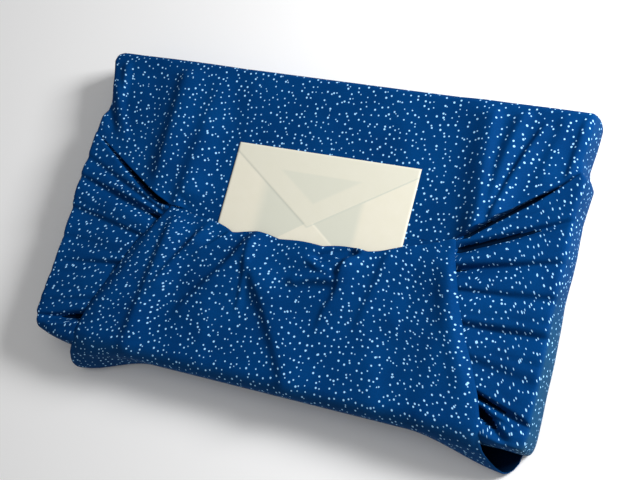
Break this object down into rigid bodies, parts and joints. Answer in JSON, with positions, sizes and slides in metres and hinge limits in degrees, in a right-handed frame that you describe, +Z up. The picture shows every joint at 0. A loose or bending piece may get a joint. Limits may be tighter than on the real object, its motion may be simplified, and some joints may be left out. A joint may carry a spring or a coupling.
{
  "type": "furoshiki wrap",
  "caption": "Flat parcel wrap of one stretch furoshiki cloth, gathered at two points, with a card envelope in the pocket of its front flap.",
  "frame": {"origin": "middle of the flat underside, on the surface that the parcel rests on", "axes": "+X along the parcel's length towards its right end, +Y from the front flap's edge to the back edge, +Z up"},
  "size_m": [0.4412, 0.2821, 0.0428],
  "materials": {
    "cloth": "matt blue stretch jersey with a soft sheen, printed with small pale scattered dots",
    "paper": null
  },
  "bodies": {
    "root": {"wrap_cloth": "cloth", "card_envelope": "paper"}
  },
  "joints": []
}
